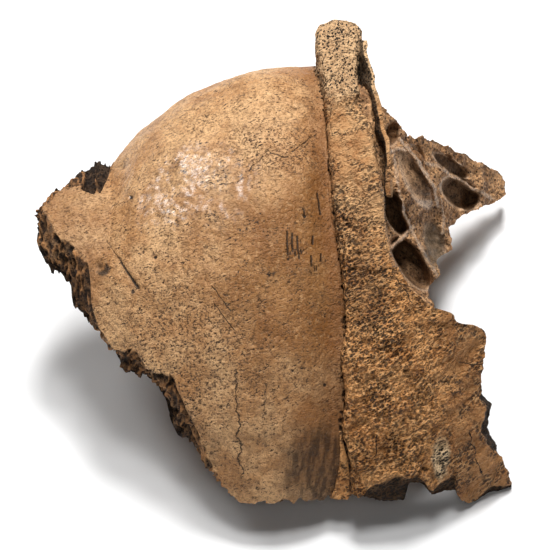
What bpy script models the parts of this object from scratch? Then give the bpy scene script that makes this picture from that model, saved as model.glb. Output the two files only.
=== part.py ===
"""Fossil mammoth skull fragment, life size, lying broken side down.

The bone is modelled face up in its own face frame: u to the right across the
face, v up the face, w out of the face. A parent empty then tips it back, so
that it rests on the floor on its broken underside. Metres throughout.
"""

import math

import bmesh
import bpy
from mathutils import Matrix, Vector, noise

MM = 0.001

# ---------------------------------------------------------------- how it lies
LEAN = math.radians(40)  # the face's upper edge is tipped up by this much
STAND = Vector((-0.0060, -0.0823, 0.222))  # the face frame's origin over the floor
GAP = 0.0003  # thin parting cuts between neighbouring bones
GROOVE = 0.008  # half width of the hidden groove that the core has under the seam

# ------------------------------------------------- the smooth vault (parietal)
ARC_V = -0.060  # height of the vault's arc centre on the face
ARC_W = -0.160  # and its depth
ARC_DEPTH = 0.160  # half depth of the vault
WALL = 0.022  # outer table with its spongy lining

# (u, v) of the crown line, in mm: the highest reach of the vault at each u
CROWN = ((-245, 108), (-205, 114), (-165, 134), (-140, 160), (-105, 184), (-70, 201),
         (-25, 217), (25, 224), (75, 226), (130, 215), (240, 180))
# (u, w) of the vault's fall to either side, in mm
SIDE = ((-245, -66), (-205, -56), (-150, -34), (-90, -12), (-40, -2), (0, -1),
        (30, -8), (55, -20), (75, -24), (130, -40), (240, -110))
# (angle over the vault in degrees, u in mm) of the seam beside the crest
SEAM = ((-38, 76), (-28, 76), (-20, 68), (-13, 71), (-6, 67), (2, 71), (12, 68),
        (28, 59), (47, 53), (60, 50), (75, 45), (90, 43), (130, 50))
# (u, v) of the vault's broken lower edge, of its outer face and of its sponge
LOW_EDGE = ((-170, -68), (-160, -80), (-140, -80), (-132, -93), (-104, -106), (-90, -132),
            (-74, -174), (-70, -190), (-51, -221), (-37, -231), (75, -229))
LOW_SPONGE = ((-172, -72), (-147, -105), (-124, -109), (-111, -133), (-105, -162),
              (-72, -197), (-55, -230), (-37, -235), (76, -233))
# (u, angle) of the vault's broken back edge, and how far its angle wanders
BACK_EDGE = ((-170, 70), (-150, 84), (-135, 98), (-100, 116), (-40, 124), (20, 119), (76, 126))
BACK_WANDER = 5.2
FLANGE_U = -0.170  # the vault ends and the flange begins
SEAM_U = 0.070  # and ends at the seam, about here

# ------------------------------------------------------ the temporal flange
FLANGE_LOW = ((-244, 69), (-230, 51), (-221, 36), (-204, 25), (-191, 5), (-188, -27),
              (-184, -47), (-170, -68))
FLANGE_HIGH = ((-244, 73), (-231, 82), (-212, 96), (-205, 94), (-195, 89), (-182, 88),
               (-177, 99), (-170, 113))
FLANGE_LOW_SPONGE = ((-249, 60), (-247, 34), (-235, 8), (-212, -9), (-206, -30), (-181, -53),
                     (-170, -73))
FLANGE_HIGH_SPONGE = ((-249, 64), (-243, 75), (-234, 85), (-220, 97), (-208, 107), (-198, 111),
                      (-189, 116), (-177, 115), (-170, 111))
FLANGE_LEFT = -0.244  # its free left edge, in its outer face
FLANGE_LEFT_SPONGE = -0.249  # and in its sponge
FLANGE_FALL = 0.22  # it falls back by this much for each metre away from the vault

# ------------------------------------------- the nuchal crest and the plate
CREST_FOOT = 14  # angle where the crest passes into the occipital plate
# (u, w) of the crest's and the plate's face, in mm
BAND_SIDE = ((45, -12), (60, -10), (75, -6), (100, 1), (130, -1), (160, -12), (190, -28),
             (215, -42), (250, -60))
# (angle, mm) that the crest stands above the vault's crown
CREST_LIFT = ((-40, 0), (14, 2), (45, 14), (62, 26), (80, 42), (105, 38))
CREST_LEFT = ((14, 68), (28, 60), (47, 54), (60, 50), (75, 44), (85, 46), (92, 52), (104, 60))
CREST_RIGHT = ((14, 121), (18, 117), (22, 112), (26, 110), (31, 111), (35, 107), (38, 103),
               (44, 99), (49, 92), (52, 86), (63, 85), (73, 88), (80, 91), (92, 84), (104, 76))
CREST_THICK = 0.034
CREST_ROUND = 0.010  # how far its long edges are rounded down
KNOB_DROP = 0.030  # how far its knobbed top end rounds down
KNOB_CROWN = 0.016  # and its sides, near the top
CREST_TOP = 102
CREST_SWELL = 0.006  # its broad swells and dips
# (v, u) of the plate's broken right edge, and (u, v) of its lower edge, in mm
PLATE_RIGHT = ((-226, 247), (-215, 243), (-204, 238), (-185, 231), (-165, 222), (-158, 218),
               (-145, 220), (-133, 221), (-125, 213), (-112, 210), (-92, 211), (-78, 214),
               (-60, 213), (-53, 207), (-49, 190), (-46, 182), (-38, 176), (-31, 158),
               (-22, 144), (-5, 131), (13, 121))
PLATE_LOW = ((75, -226), (92, -227), (105, -218), (129, -214), (154, -214), (171, -222),
             (180, -214), (188, -211), (190, -232), (196, -240), (212, -242), (222, -234),
             (230, -228), (247, -226))
PLATE_LOW_V = -0.226
PLATE_TOP_V = 0.013
PLATE_U = 0.090  # the column on which the plate's rows are set out
PLATE_THICK = 0.011
PLATE_SWELL = 0.0045  # its broad swells and dips
TROUGH_AT = Vector((0.183, -0.098, 0))  # middle of the shallow furrow that runs up across it
TROUGH_DEEP = 0.005
TROUGH_WIDE = 0.016
TROUGH_REACH = 0.034

# ------------------------------------------ the splinter at the seam's lower end
SPLINT_RISE = 0.0045
SPLINT_V = (-0.2270, -0.158)  # its broad lower end and its point
SPLINT_LEFT = 0.058  # u of its lower left corner
SPLINT_POINT = 0.002  # its width at the point
SPLINT_CLEAR = 0.0008  # between its right edge and the seam

# ------------------------------------- the thin lamina right of the crest's top
LAMINA = 0.005  # thickness
LAMINA_DEEP = 0.034  # how far it runs back
LAMINA_TUCK = 0.007  # and how far it draws in behind the crest there
LAMINA_LINE = ((80, 114, -42), (115, 113, -46), (154, 108, -58), (190, 101, -74), (224, 94, -90),
               (246, 92, -112))

# -------------------------------------------------------- the inner diploe
CORE_SINK = 0.011  # the core's outer face, below the vault's
CORE_THICK = 0.090
CORE_FOOT = Vector((0, 0.014, -0.085))  # its front edge runs back this far to the floor
CORE_FOOT_SHARE = 0.07  # and starts to, this far along
CORE_FRONT = (-38, -50)  # angles where it begins, at its outer and its inner face
CORE_BACK = (168, 184)  # and where it ends, below the floor
CORE_BARE = 124  # angle where it comes out from under the wall, at the back
CORE_LEFT = ((-38, -38), (-20, -78), (0, -128), (20, -156), (45, -158), (75, -138), (110, -128),
             (130, -122), (145, -92), (158, -100), (184, -64))
CORE_RIGHT = ((-38, 158), (-20, 165), (0, 160), (8, 140), (14, 114), (30, 99), (60, 84), (90, 74),
              (112, 84), (130, 102), (146, 80), (160, 90), (184, 78))
CORE_SWELL = 0.026  # the unevenness of its broken faces
CORE_CELL = 0.046  # from one of its large air cells to the next
CORE_CELL_DEEP = 0.019  # how deep the break has laid them open

# --------------------------------------- the broken cells right of the crest
# (v, u, w) of the broken mass's left and right limits on its face, in mm
CELLS_LEFT = ((-36, 120, -40), (20, 96, -42), (80, 88, -48), (156, 80, -66), (206, 80, -94))
CELLS_RIGHT = ((-36, 166, -62), (-16, 159, -88), (-2, 171, -104), (14, 171, -122),
               (29, 188, -162), (56, 184, -168), (80, 176, -142), (96, 171, -132),
               (118, 159, -126), (142, 140, -120), (156, 132, -110))
CELLS_DEEP = (0.078, 0.057)  # how far the mass runs back, at left and right
CELLS_CROWN = 0.010  # how far its middle stands out
CELLS_LEAN = 0.016  # how far its right side draws in towards the back
# of each large cell laid open: middle (u, v), half length and half width, all in mm, lie in
# degrees, depth in mm, and how much of the way in is taken up by its sloping wall
CELLS = (((122, 147), (17, 10), 75, 20, 0.7),
         ((148, 100), (42, 18), -62, 15, 1.0),
         ((125, 64), (27, 12), -68, 44, 0.5),
         ((141, 12), (36, 16), -56, 46, 0.6),
         ((170, 34), (30, 14), -66, 10, 0.9))

# ------------------------------------------------------ the far cellular wedge
WEDGE_TOP = ((134, 147), (179, 136), (216, 122), (241, 110), (256, 98), (261, 90))
WEDGE_LOW = ((134, 26), (188, 47), (216, 63), (236, 70), (254, 77), (261, 86))
WEDGE_ROOT = (0.134, -0.146)  # u and w where it leaves the cells
WEDGE_TIP = (0.261, -0.316)
WEDGE_DEEP = (0.060, 0.024)
WEDGE_CROWN = 0.010
WEDGE_CELLS = (((156, 128), (9, 5), -60, 14, 0.6),
               ((194, 116), (27, 8), -30, 12, 0.6),
               ((204, 87), (27, 17), -24, 30, 0.6))


def through(stations, at):
    """A smooth line through (station, value) pairs, both in the stations' units."""
    if at <= stations[0][0]:
        return stations[0][1]
    if at >= stations[-1][0]:
        return stations[-1][1]
    k = max(i for i, s in enumerate(stations) if s[0] <= at)
    (x0, y0), (x1, y1) = stations[k], stations[k + 1]
    before = stations[max(k - 1, 0)]
    after = stations[min(k + 2, len(stations) - 1)]
    m0 = (y1 - before[1]) / (x1 - before[0]) * (x1 - x0)
    m1 = (after[1] - y0) / (after[0] - x0) * (x1 - x0)
    t = (at - x0) / (x1 - x0)
    t2, t3 = t * t, t * t * t
    return ((2 * t3 - 3 * t2 + 1) * y0 + (t3 - 2 * t2 + t) * m0
            + (3 * t2 - 2 * t3) * y1 + (t3 - t2) * m1)


def metres(stations, at):
    """The same, where stations and values are both lengths in mm."""
    return through(stations, at / MM) * MM


def between(low, high, share):
    return low + (high - low) * share


def ease(low, high, at):
    """0 below low and 1 above high, with a smooth rise."""
    t = max(0.0, min(1.0, (at - low) / (high - low)))
    return t * t * (3 - 2 * t)


def rough(place, scale, size, seed=0.0):
    """Even, repeatable unevenness: about `size` metres over lengths of `scale` metres."""
    return size * noise.noise(place / scale + Vector((seed, 7.3 * seed, 3.1)))


def open_cell(place, size):
    """1 in the middle of an air cell laid open, 0 on the walls that part the cells."""
    near = noise.voronoi(place / size)[0]
    return ease(0.05, 0.6, near[1] - near[0])


def laid_open(place, cells):
    """How deep, in metres, the large cells that are laid open reach at a place on the face."""
    deepest = 0.0
    for middle, (long, wide), lie, depth, slope in cells:
        away = Matrix.Rotation(math.radians(-lie), 2) @ (place.xy / MM - Vector(middle))
        far = math.hypot(away.x / long, away.y / wide)
        deepest = max(deepest, depth * MM * (1 - ease(1 - slope, 1, far)))
    return deepest


# ------------------------------------------------------------ the surfaces
def vault(u, angle, sink=0.0):
    """A point of the smooth vault, or `sink` below it, at an angle in degrees up over it."""
    turn = math.radians(angle)
    rise = metres(CROWN, u) - ARC_V - sink
    return Vector((u, ARC_V + rise * math.sin(turn),
                   ARC_W + metres(SIDE, u) + (ARC_DEPTH - sink) * math.cos(turn)))


def vault_angle(u, v):
    """The angle at which the vault's front passes the height v."""
    share = (v - ARC_V) / (metres(CROWN, u) - ARC_V)
    return math.degrees(math.asin(max(-1.0, min(1.0, share))))


def band(u, angle, sink, lift=0.0):
    """A point below the crest's and the occipital plate's face, which stands `lift` proud."""
    turn = math.radians(angle)
    rise = metres(CROWN, u) + lift - ARC_V - sink
    return Vector((u, ARC_V + rise * math.sin(turn),
                   ARC_W + metres(BAND_SIDE, u) + (ARC_DEPTH - sink) * math.cos(turn)))


# ------------------------------------------------------------ making solids
def bone_material(name, colour, roughness):
    material = bpy.data.materials.new(name)
    material.use_nodes = True
    shader = material.node_tree.nodes["Principled BSDF"]
    shader.inputs["Base Color"].default_value = (*colour, 1)
    shader.inputs["Roughness"].default_value = roughness
    return material


def face_outwards(bm):
    bmesh.ops.recalc_face_normals(bm, faces=bm.faces[:])
    if bm.calc_volume(signed=True) < 0:
        bmesh.ops.reverse_faces(bm, faces=bm.faces[:])


def object_of(name, bm, material, skull):
    """The mesh as a named object in the face frame, carried by the skull's empty."""
    face_outwards(bm)
    mesh = bpy.data.meshes.new(name)
    bm.to_mesh(mesh)
    bm.free()
    mesh.shade_smooth()
    mesh.set_sharp_from_angle(angle=math.radians(38))
    if material:
        mesh.materials.append(material)
    made = bpy.data.objects.new(name, mesh)
    bpy.context.scene.collection.objects.link(made)
    made.parent = skull
    return made


def slab(columns, rows, place, layers=1):
    """A closed shell set out by place(across, along, depth), each from 0 to 1.

    Depth 0 is its outer face and 1 its inner face.
    """
    bm = bmesh.new()
    bmesh.ops.create_grid(bm, x_segments=columns, y_segments=rows, size=0.5)
    faces = bm.faces[:]
    for layer in range(layers):
        made = bmesh.ops.extrude_face_region(bm, geom=faces)["geom"]
        raised = [v for v in made if isinstance(v, bmesh.types.BMVert)]
        bmesh.ops.translate(bm, vec=(0, 0, 1 / layers), verts=raised)
        if layer:
            bmesh.ops.delete(bm, geom=faces, context="FACES")
        faces = [f for f in made if isinstance(f, bmesh.types.BMFace)]
    for vert in bm.verts:
        vert.co = place(vert.co.x + 0.5, vert.co.y + 0.5, 1 - round(vert.co.z * layers) / layers)
    bmesh.ops.triangulate(bm, faces=bm.faces[:])
    return bm


def floor_block():
    """Everything below the floor, in the face frame."""
    bm = bmesh.new()
    bmesh.ops.create_cube(bm, size=1)
    sunk = Matrix.Translation((0, 0, -0.5)) @ Matrix.Diagonal((1.4, 1.4, 1, 1))
    stand = Matrix.Translation(STAND) @ Matrix.Rotation(LEAN, 4, "X")
    bmesh.ops.transform(bm, matrix=stand.inverted() @ sunk, verts=bm.verts[:])
    return bm


def swollen(bm, by):
    """The same shape, grown by a hair's breadth, to cut its neighbours clear of it."""
    face_outwards(bm)
    bm.normal_update()
    for vert, push in [(v, v.normal * v.calc_shell_factor()) for v in bm.verts]:
        vert.co += push * by
    return bm


def carve(target, shapes, skull):
    """Cuts every shape out of the target with one exact boolean."""
    group = bpy.data.collections.new(target.name + "_cuts")
    bpy.context.scene.collection.children.link(group)
    for number, bm in enumerate(shapes):
        cutter = object_of(f"{target.name}_cut_{number}", bm, None, skull)
        bpy.context.scene.collection.objects.unlink(cutter)
        group.objects.link(cutter)
        cutter.hide_render = True
        cutter.display_type = "WIRE"
    modifier = target.modifiers.new("cuts", "BOOLEAN")
    modifier.operation = "DIFFERENCE"
    modifier.operand_type = "COLLECTION"
    modifier.collection = group
    modifier.solver = "EXACT"


# --------------------------------------------------------------- the shapes
def wall_shape():
    """The smooth bulging wall, from its broken lower edge up and over the crown."""
    def place(across, along, depth):
        low = LOW_SPONGE if depth else LOW_EDGE
        column_u = between(FLANGE_U + GAP, SEAM_U, across)
        start = vault_angle(column_u, metres(low, column_u))
        stop = through(BACK_EDGE, column_u / MM)
        stop += rough(Vector((column_u, 0, WALL * depth)), 0.03, BACK_WANDER)
        angle = between(start, stop, along)
        u = between(FLANGE_U + GAP, through(SEAM, angle) * MM - GAP / 2, across)
        return vault(u, angle, WALL * depth)
    return slab(16, 16, place)


def seam_groove():
    """A cutter along the core under the seam, so that no crumb stays between wall and crest."""
    def place(across, along, depth):
        angle = between(CREST_FOOT - 2, CREST_TOP + 2, along)
        u = through(SEAM, angle) * MM + between(-GROOVE, GROOVE, across)
        return vault(u, angle, CREST_THICK * depth)
    return slab(1, 16, place)


def flange_shape():
    """The flatter flange on the left, broken all round, with an air cell open at its top."""
    def place(across, along, depth):
        low, high = (FLANGE_LOW_SPONGE, FLANGE_HIGH_SPONGE) if depth else (FLANGE_LOW, FLANGE_HIGH)
        sink = WALL * depth
        u = between(FLANGE_LEFT_SPONGE if depth else FLANGE_LEFT, FLANGE_U, across)
        v = between(metres(low, u), metres(high, u), along)
        meet = vault(FLANGE_U, vault_angle(FLANGE_U, v), sink).z
        return Vector((u, v, meet - FLANGE_FALL * (FLANGE_U - u) - sink / 5))
    return slab(8, 6, place)


def rounding(to_edge, width):
    """0 away from an edge, rising to 1 at it, as a quarter circle seen from its end."""
    inside = max(0.0, 1 - to_edge / width)
    return 1 - math.sqrt(1 - inside * inside)


def crest_shape():
    """The raised rough crest beside the vault, up to its knobbed top."""
    def place(across, along, depth):
        angle = between(CREST_FOOT + 0.05, CREST_TOP, along)
        left = through(CREST_LEFT, angle) * MM + GAP / 2
        u = between(left, through(CREST_RIGHT, angle) * MM, across)
        if depth:
            return band(u, angle, CREST_THICK)
        knob = max(0.0, along - 0.75) / 0.25
        drop = CREST_ROUND * (rounding(across, 0.14) + rounding(1 - across, 0.12))
        drop += KNOB_DROP * rounding(1 - along, 0.10) + KNOB_CROWN * (knob * (2 * across - 1)) ** 2
        inside = math.sin(math.pi * across) * ease(0, 0.2, 1 - along)
        drop -= rough(band(u, angle, 0), 0.028, CREST_SWELL) * inside
        return band(u, angle, drop, through(CREST_LIFT, angle) * MM)
    return slab(8, 24, place)


def plate_swell(at):
    """The plate's broad swells, and the shallow furrow that runs up across it."""
    away = at - TROUGH_AT
    furrow = math.exp(-((away.x - away.y) / TROUGH_WIDE) ** 2 - (away.x / TROUGH_REACH) ** 2)
    return rough(at, 0.035, PLATE_SWELL) - TROUGH_DEEP * furrow


def plate_shape():
    """The rough thin plate that flares out below the crest."""
    def place(across, along, depth):
        v = between(PLATE_LOW_V, PLATE_TOP_V, along)
        left = through(SEAM, vault_angle(PLATE_U, v)) * MM + GAP / 2
        u = between(left, metres(PLATE_RIGHT, v), across)
        v += (metres(PLATE_LOW, u) - PLATE_LOW_V) * (1 - along) ** 5
        angle = min(vault_angle(u, v), CREST_FOOT) if along < 1 else CREST_FOOT - 0.05
        inside = ease(0, 0.15, across) * ease(0, 0.15, 1 - along)
        swell = plate_swell(band(u, angle, 0)) * inside
        if depth:
            return band(u, angle, PLATE_THICK - swell)
        sink = CREST_ROUND * rounding(across, 0.07) - swell
        return band(u, angle, sink, through(CREST_LIFT, angle) * MM)
    return slab(15, 18, place)


def splint_shape():
    """A thin splinter of bone that lies on the vault's edge, pointing up the seam."""
    def place(across, along, depth):
        v = between(*SPLINT_V, along)
        angle = vault_angle(SEAM_U, v)
        right = through(SEAM, angle) * MM - SPLINT_CLEAR
        left = between(SPLINT_LEFT, right - SPLINT_POINT, along)
        rise = 0 if depth else SPLINT_RISE * between(0.4, 1, across) * between(1, 0.4, along)
        return vault(between(left, right, across), angle, -GAP - rise)
    return slab(2, 6, place)


def limit(stations, v):
    """The (u, w) of a limit given as (v, u, w) stations, in metres."""
    return (through([(s[0], s[1]) for s in stations], v / MM) * MM,
            through([(s[0], s[2]) for s in stations], v / MM) * MM)


def lamina_shape():
    """A thin bent wall of bone that stands clear of the crest's knob."""
    def place(across, along, depth):
        v = between(LAMINA_LINE[0][0], LAMINA_LINE[-1][0], along) * MM
        u, w = limit(LAMINA_LINE, v)
        tuck = LAMINA_TUCK * across * ease(0.120, 0.190, v)
        at = Vector((u + (1 - depth) * LAMINA - tuck, v, w - LAMINA_DEEP * across))
        return at + Vector((rough(at, 0.02, 0.004), 0, rough(at.yzx, 0.02, 0.006)))
    return slab(3, 12, place)


def core_shape():
    """The thick arch of cellular bone under the walls, down to the floor at front and back."""
    def place(across, along, depth):
        angle = between(between(*CORE_FRONT, depth), between(*CORE_BACK, depth), along)
        ragged = Vector((0.0, angle / 600, depth / 10))
        left = through(CORE_LEFT, angle) * MM + rough(ragged, 0.03, 0.018)
        right = through(CORE_RIGHT, angle) * MM + rough(ragged, 0.03, 0.018, 4.0)
        at = vault(between(left, right, across), angle, CORE_SINK + CORE_THICK * depth)
        outward = (at - Vector((at.x, ARC_V, ARC_W))).normalized()
        bare = between(ease(CORE_BARE, CORE_BARE + 14, angle), ease(0, 0.1, along), depth)
        dent = CORE_CELL_DEEP * open_cell(at, CORE_CELL) * ease(0, 0.15, along)
        at += outward * rough(at, 0.05, CORE_SWELL) * bare
        if across in (0, 1):
            at.x += (1 - 2 * across) * dent * ease(0, 0.4, depth) * ease(0, 0.4, 1 - depth)
        elif depth in (0, 1):
            inside = ease(0, 0.2, across) * ease(0, 0.2, 1 - across) * bare
            at += outward * (2 * depth - 1) * dent * inside
        return at + CORE_FOOT * (1 - depth) * max(0, 1 - along / CORE_FOOT_SHARE)
    return slab(18, 28, place, 7)


def cells_shape():
    """The broken cellular mass right of the crest, sloping back from its side."""
    def place(across, along, depth):
        top = between(CELLS_LEFT[-1][0], CELLS_RIGHT[-1][0], across)
        v = between(CELLS_LEFT[0][0], top, along) * MM
        (left_u, left_w), (right_u, right_w) = limit(CELLS_LEFT, v), limit(CELLS_RIGHT, v)
        at = Vector((between(left_u, right_u, across), v, between(left_w, right_w, across)))
        at.z += CELLS_CROWN * math.sin(math.pi * across) + rough(at, 0.03, 0.012)
        if depth:
            return at - Vector((CELLS_LEAN * across, 0, between(*CELLS_DEEP, across)))
        return at - Vector((0, 0, laid_open(at, CELLS)))
    return slab(18, 30, place)


def wedge_shape():
    """The tapering tongue of cellular bone behind the cells, out to its solid tip."""
    def place(across, along, depth):
        u = between(WEDGE_ROOT[0], WEDGE_TIP[0], across)
        low, high = metres(WEDGE_LOW, u), metres(WEDGE_TOP, u)
        w = between(WEDGE_ROOT[1], WEDGE_TIP[1], across)
        at = Vector((u, between(low, high, along), w))
        at.z += WEDGE_CROWN * (1 - across) * math.sin(math.pi * along)
        if depth:
            at.z -= between(*WEDGE_DEEP, across)
            at.y = between(at.y, between(low, high, 0.5), 0.3)
        else:
            at.z -= laid_open(at, WEDGE_CELLS)
        return at + Vector((0, rough(at, 0.015, 0.004), rough(at.yzx, 0.02, 0.006)))
    return slab(18, 12, place)


def main():
    for obj in list(bpy.data.objects):
        bpy.data.objects.remove(obj)
    skull = bpy.data.objects.new("skull", None)
    bpy.context.scene.collection.objects.link(skull)
    cortex = bone_material("smooth_bone", (0.42, 0.25, 0.12), 0.5)
    rough_bone = bone_material("rough_bone", (0.36, 0.21, 0.10), 0.8)
    diploe = bone_material("cellular_bone", (0.20, 0.13, 0.08), 0.9)

    object_of("parietal_wall", wall_shape(), cortex, skull)
    object_of("temporal_flange", flange_shape(), cortex, skull)
    crest = object_of("nuchal_crest", crest_shape(), rough_bone, skull)
    carve(crest, [swollen(wall_shape(), GAP)], skull)
    splint = object_of("seam_splint", splint_shape(), cortex, skull)
    carve(splint, [swollen(wall_shape(), GAP)], skull)
    plate = object_of("occipital_plate", plate_shape(), rough_bone, skull)
    carve(plate, [swollen(wall_shape(), GAP), floor_block()], skull)

    lamina = object_of("crest_lamina", lamina_shape(), rough_bone, skull)
    carve(lamina, [swollen(crest_shape(), GAP)], skull)

    core = object_of("diploe_core", core_shape(), diploe, skull)
    shells = [wall_shape(), flange_shape(), crest_shape(), plate_shape(), lamina_shape()]
    carve(core, [swollen(shell, GAP) for shell in shells] + [seam_groove(), floor_block()], skull)

    cells = object_of("diploe_cells", cells_shape(), diploe, skull)
    shells = [crest_shape(), plate_shape(), lamina_shape(), core_shape()]
    carve(cells, [swollen(shell, GAP) for shell in shells], skull)

    wedge = object_of("diploe_wedge", wedge_shape(), diploe, skull)
    shells = [cells_shape(), core_shape()]
    carve(wedge, [swollen(shell, GAP) for shell in shells] + [floor_block()], skull)

    skull.rotation_euler = (LEAN, 0, 0)
    skull.location = STAND


main()
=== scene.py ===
import math

import bmesh
import bpy
from mathutils import Matrix, Vector, noise


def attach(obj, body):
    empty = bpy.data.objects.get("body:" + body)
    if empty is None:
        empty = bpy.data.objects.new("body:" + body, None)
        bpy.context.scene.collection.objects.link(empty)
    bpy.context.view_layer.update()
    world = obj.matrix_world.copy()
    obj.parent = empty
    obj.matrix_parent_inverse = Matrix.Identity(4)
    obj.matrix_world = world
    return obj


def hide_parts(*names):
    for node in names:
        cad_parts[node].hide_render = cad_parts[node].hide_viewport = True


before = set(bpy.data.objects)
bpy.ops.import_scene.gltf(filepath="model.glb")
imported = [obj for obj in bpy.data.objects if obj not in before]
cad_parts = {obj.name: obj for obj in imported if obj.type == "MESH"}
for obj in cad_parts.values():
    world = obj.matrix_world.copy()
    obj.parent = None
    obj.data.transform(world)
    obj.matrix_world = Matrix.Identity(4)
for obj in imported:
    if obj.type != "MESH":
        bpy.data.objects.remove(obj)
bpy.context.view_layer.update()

# ---------- where the fragment lies
# The broken piece of skull lies on its shattered underside, face up and tipped back, on plain
# white paper under soft lamps, the strongest behind it. Every bone is shaped in the face's
# own frame: u to the right, v up the face and w out of it, in metres.
LEAN = math.radians(40)
STAND = Vector((-0.0060, -0.0823, 0.222))
FACE = Matrix.Translation(STAND) @ Matrix.Rotation(LEAN, 4, "X")
MIDDLE = Vector((0, 0, 0.15))
CAMERA_AWAY = 2.4
VIEW_WIDTH = 0.55  # how much of the face the camera takes in
ROOM_GLOW = 0.02
# place and width in metres, and power in watts
LAMPS = (("back_light", (0.14, 1.53, 3.60), 0.9, 134),
         ("top_light", (0, 0.25, 3.80), 0.9, 52),
         ("front_light", (0.3, -1.95, 2.30), 1.2, 8),
         ("side_light", (-1.24, 0.85, 1.69), 0.60, 13))
FLOOR_REACH = 4  # metres to each side
PAPER = (0.93, 0.93, 0.93, 1)
PAPER_ROUGH = 0.9

scene = bpy.context.scene
scene.view_settings.view_transform = "Standard"
world = bpy.data.worlds.new("white_room")
scene.world = world
world.use_nodes = True
glow = world.node_tree.nodes["Background"].inputs
glow["Color"].default_value = (1, 1, 1, 1)
glow["Strength"].default_value = ROOM_GLOW

camera = bpy.data.objects.new("camera", bpy.data.cameras.new("camera"))
camera.data.lens = camera.data.sensor_width * CAMERA_AWAY / VIEW_WIDTH
camera.data.clip_start = 0.05
camera.matrix_world = FACE @ Matrix.Translation((0, 0, CAMERA_AWAY))
scene.collection.objects.link(camera)
scene.camera = camera

for name, place, width, power in LAMPS:
    lamp = bpy.data.objects.new(name, bpy.data.lights.new(name, "AREA"))
    lamp.data.size = width
    lamp.data.energy = power
    turn = (MIDDLE - Vector(place)).to_track_quat("-Z", "Y")
    lamp.matrix_world = Matrix.Translation(place) @ turn.to_matrix().to_4x4()
    scene.collection.objects.link(lamp)

bm = bmesh.new()
bmesh.ops.create_grid(bm, x_segments=1, y_segments=1, size=FLOOR_REACH)
floor_mesh = bpy.data.meshes.new("floor")
bm.to_mesh(floor_mesh)
bm.free()
floor = bpy.data.objects.new("floor", floor_mesh)
scene.collection.objects.link(floor)
paper = bpy.data.materials.new("white_paper")
paper.use_nodes = True
matt = paper.node_tree.nodes["Principled BSDF"].inputs
matt["Base Color"].default_value = PAPER
matt["Roughness"].default_value = PAPER_ROUGH
floor_mesh.materials.append(paper)


# ---------- the parietal wall and the temporal flange
# The smooth outer table of the braincase's side: dense, waxy, finely pored bone over a
# spongy lining. It bulges like a barrel, runs out on the left in a flatter wing with one air
# cell laid open, and is snapped off below, where brown sponge, darkened further by painted
# shade, stands out beyond the table.
MM = 0.001
GAP = 0.0003  # between neighbouring bones
ARC_V = -0.060  # the vault is an arch about the line v = ARC_V, w = ARC_W
ARC_W = -0.160
ARC_DEPTH = 0.160
WALL = 0.022
# (u, v) and (u, w) in mm: how high and how far forward it stands along its length
CROWN = ((-245, 108), (-205, 114), (-165, 134), (-140, 160), (-105, 184), (-70, 201),
         (-25, 217), (25, 224), (75, 226), (130, 215), (240, 180))
SIDE = ((-245, -66), (-205, -56), (-150, -34), (-90, -12), (-40, -2), (0, -1),
        (30, -8), (55, -20), (75, -24), (130, -40), (240, -110))
# (degrees up over the vault, u in mm) of the seam
SEAM = ((-38, 76), (-28, 76), (-20, 68), (-13, 71), (-6, 67), (2, 71), (12, 68),
        (28, 59), (47, 53), (60, 50), (75, 45), (90, 43), (130, 50))
# (u, v) in mm of the table's broken edges, and of the sponge beyond them
LOW_EDGE = ((-170, -68), (-160, -80), (-140, -80), (-132, -93), (-104, -106), (-90, -132),
            (-74, -174), (-70, -190), (-51, -221), (-37, -231), (75, -229))
LOW_SPONGE = ((-172, -72), (-147, -105), (-124, -109), (-111, -133), (-105, -162),
              (-72, -197), (-55, -230), (-37, -235), (76, -233))
FLANGE_LOW = ((-244, 69), (-230, 51), (-221, 36), (-204, 25), (-191, 5), (-188, -27),
              (-184, -47), (-170, -68))
FLANGE_HIGH = ((-244, 73), (-231, 82), (-212, 96), (-205, 94), (-195, 89), (-182, 88),
               (-177, 99), (-170, 113))
FLANGE_LOW_SPONGE = ((-249, 60), (-247, 34), (-235, 8), (-212, -9), (-206, -30), (-181, -53),
                     (-170, -73))
FLANGE_HIGH_SPONGE = ((-249, 64), (-243, 75), (-234, 85), (-220, 97), (-208, 107), (-198, 111),
                      (-189, 116), (-177, 115), (-170, 111))
FLANGE_LEFT = -0.243
FLANGE_LEFT_SPONGE = -0.248
FLANGE_U = -0.170  # where the flange meets the vault
FLANGE_FALL = 0.22  # how steeply it falls away from there
# (u in mm, degrees) to which the vault reaches behind
BACK_EDGE = ((-170, 70), (-150, 84), (-135, 98), (-100, 116), (-40, 124), (20, 119), (76, 126))
SEAM_U = 0.070
EDGE_TOOTH = 0.011  # how wide the teeth of the broken edges are
EDGE_RAGGED = 0.0055  # how tall they are
SPONGE_RAGGED = 0.003  # how much taller they are in the sponge
EDGE_WORN = 0.0025
# the u and v over which the flange's open air cell goes from rim to full depth
AIR_CELL_LEFT = (-0.202, -0.197)
AIR_CELL_RIGHT = (-0.173, -0.178)
AIR_CELL_LOW = (0.080, 0.092)
AIR_CELL_DEEP = 0.020
# (width, height) in metres of the table's uneven swells
WALL_SWELLS = ((0.055, 0.0034), (0.018, 0.0010), (0.005, 0.0006))
SEAM_VALLEY = 0.0025
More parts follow.
